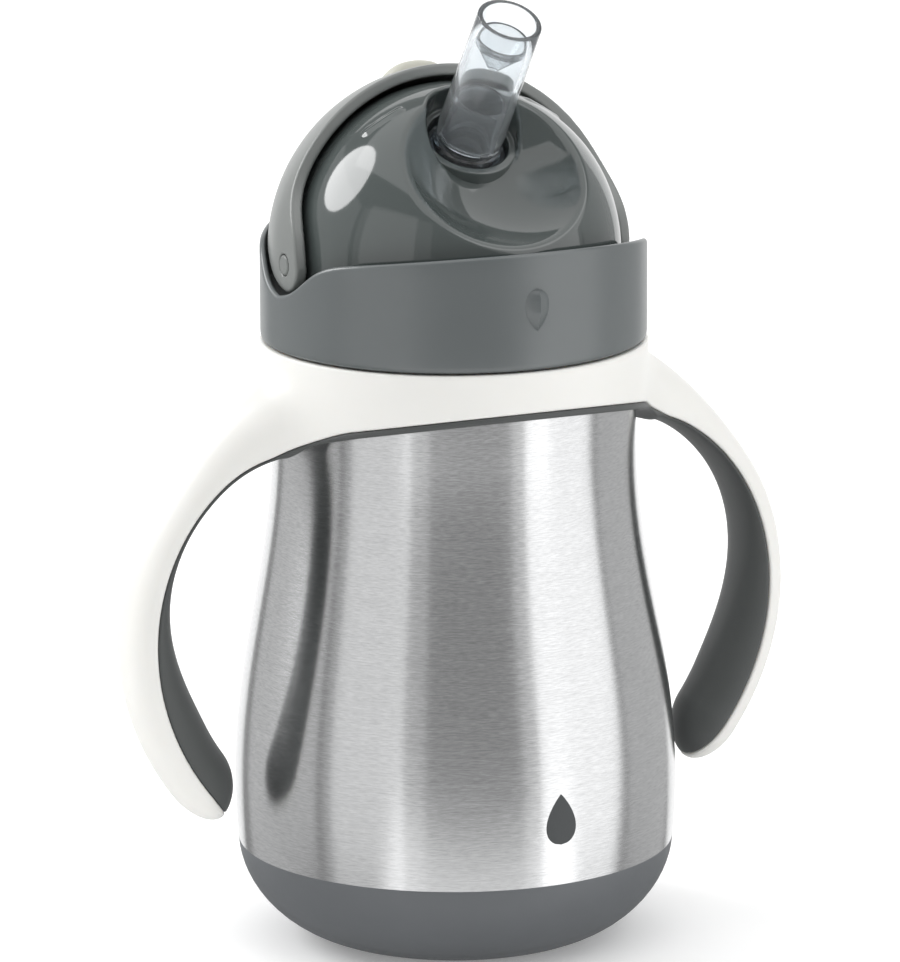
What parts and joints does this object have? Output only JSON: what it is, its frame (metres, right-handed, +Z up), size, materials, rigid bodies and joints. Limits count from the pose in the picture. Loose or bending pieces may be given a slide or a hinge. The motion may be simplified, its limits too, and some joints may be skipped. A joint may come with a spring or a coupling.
{
  "type": "sippy cup",
  "caption": "Insulated steel straw cup for toddlers, with a soft boot, two open handles on a collar, and a flip hood over a folding straw.",
  "frame": {"origin": "centre of the flat foot, on the surface the cup stands on", "axes": "+Z up through the bottle, -Y towards the front where the straw leans, X through the two handles and the hood's pivots"},
  "size_m": [0.127, 0.078, 0.1697],
  "materials": {
    "steel": "brushed round the body",
    "liner_steel": "satin",
    "boot": "matte silicone",
    "print": "pad print",
    "shell_white": "satin moulded",
    "soft_grip": "soft touch",
    "lid_grey": "fine matte moulded",
    "dome_grey": "high gloss moulded",
    "hood_grey": "satin moulded",
    "inner_white": "moulded",
    "seal": "silicone",
    "pin_grey": "moulded",
    "tab": "satin moulded",
    "clear_silicone": "clear silicone"
  },
  "bodies": {
    "bottle": {"outer_shell": "steel", "inner_liner": "liner_steel", "base_plate": "liner_steel", "vacuum_plug": "liner_steel", "base_boot": "boot", "printed_drop": "print"},
    "handles": {"handle_shell": "shell_white", "collar_lining": "soft_grip", "left_grip": "soft_grip", "right_grip": "soft_grip"},
    "seal": {"lid_gasket": "seal"},
    "lid": {"lid_band": "lid_grey", "thread_ring": "inner_white", "inner_plate": "inner_white", "lid_dome": "dome_grey", "vent_valve": "seal", "spout_base": "clear_silicone", "drop_straw": "inner_white", "left_pivot_pin": "pin_grey", "right_pivot_pin": "pin_grey"},
    "hood": {"flip_hood": "hood_grey", "thumb_tab": "tab"},
    "spout": {"mouthpiece": "clear_silicone", "bite_valve": "clear_silicone"}
  },
  "joints": [
    {"name": "lid_lift", "type": "slide", "parent": "bottle", "child": "seal", "axis": [0, 0, 1], "range_m": [0, 0.11]},
    {"name": "lid_turn", "type": "hinge", "parent": "seal", "child": "lid", "pos_m": [0, 0, 0.113], "axis": [0, 0, 1], "range_deg": [0, 180]},
    {"name": "hood_flip", "type": "hinge", "parent": "lid", "child": "hood", "pos_m": [0, 0, 0.1226], "axis": [1, 0, 0], "range_deg": [0, 90]},
    {"name": "spout_fold", "type": "hinge", "parent": "lid", "child": "spout", "pos_m": [0, -0.0066, 0.1435], "axis": [1, 0, 0], "range_deg": [0, 60], "deforming": ["mouthpiece", "bite_valve"]},
    {"name": "handles_lift", "type": "slide", "parent": "bottle", "child": "handles", "axis": [0, 0, 1], "range_m": [0, 0.0275]}
  ],
  "couplings": [
    {"joint": "spout_fold", "follows": "hood_flip", "ratio": 0.6666},
    {"joint": "handles_lift", "follows": "lid_lift", "ratio": 0.25}
  ]
}
